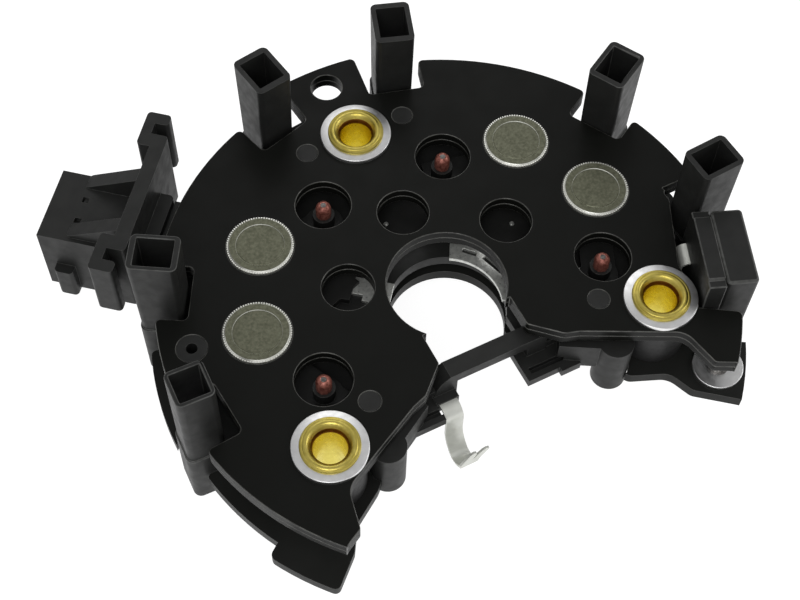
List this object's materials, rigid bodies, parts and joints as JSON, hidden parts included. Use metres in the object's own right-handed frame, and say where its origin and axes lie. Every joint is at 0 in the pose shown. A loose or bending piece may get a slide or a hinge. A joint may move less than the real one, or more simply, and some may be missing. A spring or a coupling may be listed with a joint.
{
  "type": "alternator rectifier",
  "caption": "Horseshoe alternator rectifier: black heat sinks with press-fit diodes, wire towers, fixing eyelets, a suppression capacitor and a side connector.",
  "frame": {"origin": "on the shaft axis, in the plane of the lower heat sink's underside", "axes": "+Z along the shaft axis, from the lower heat sink to the upper one; +Y from the shaft to the upper sheet's hole tab"},
  "size_m": [0.1223, 0.0986, 0.0366],
  "materials": {
    "heat_sink": "satin black coating on aluminium",
    "carrier": "moulded black plastic",
    "diode_cap": "matte nickel plate",
    "lead": "tinned",
    "ferrule": "copper colour",
    "eyelet": "yellow passivated steel",
    "washer": "bright zinc plate",
    "sleeve": "dark grey insulator",
    "strip": "tinned strip",
    "clip": "bright spring strip",
    "capacitor": "dark grey potting and case",
    "pin": "bright"
  },
  "bodies": {
    "root": {"upper_sheet": "heat_sink", "second_sheet": "heat_sink", "lower_heat_sink": "heat_sink", "carrier": "carrier", "connector_shell": "carrier", "wire_tower_1": "carrier", "wire_tower_2": "carrier", "wire_tower_3": "carrier", "wire_tower_4": "carrier", "wire_tower_5": "carrier", "wire_tower_6": "carrier", "upper_diode_1": "diode_cap", "upper_diode_2": "diode_cap", "upper_diode_3": "diode_cap", "upper_diode_4": "diode_cap", "lower_diode_1": "diode_cap", "lower_diode_2": "diode_cap", "lower_diode_3": "diode_cap", "lower_diode_4": "diode_cap", "upper_lead_1": "lead", "upper_lead_2": "lead", "upper_lead_3": "lead", "upper_lead_4": "lead", "lower_lead_1": "lead", "lower_lead_2": "lead", "lower_lead_3": "lead", "lower_lead_4": "lead", "lead_ferrule_1": "ferrule", "lead_ferrule_2": "ferrule", "lead_ferrule_3": "ferrule", "lead_ferrule_4": "ferrule", "eyelet_1": "eyelet", "eyelet_2": "eyelet", "eyelet_3": "eyelet", "eyelet_washer_1": "washer", "eyelet_washer_2": "washer", "eyelet_washer_3": "washer", "eyelet_sleeve_1": "sleeve", "eyelet_sleeve_2": "sleeve", "eyelet_sleeve_3": "sleeve", "phase_strip_1": "strip", "phase_strip_2": "strip", "phase_strip_3": "strip", "phase_strip_4": "strip", "contact_clip": "clip", "capacitor_case": "capacitor", "capacitor_cover": "capacitor", "capacitor_terminal": "clip", "earth_washer": "washer", "earth_rivet": "washer", "connector_pin_1": "pin", "connector_pin_2": "pin", "connector_pin_3": "pin"}
  },
  "joints": []
}
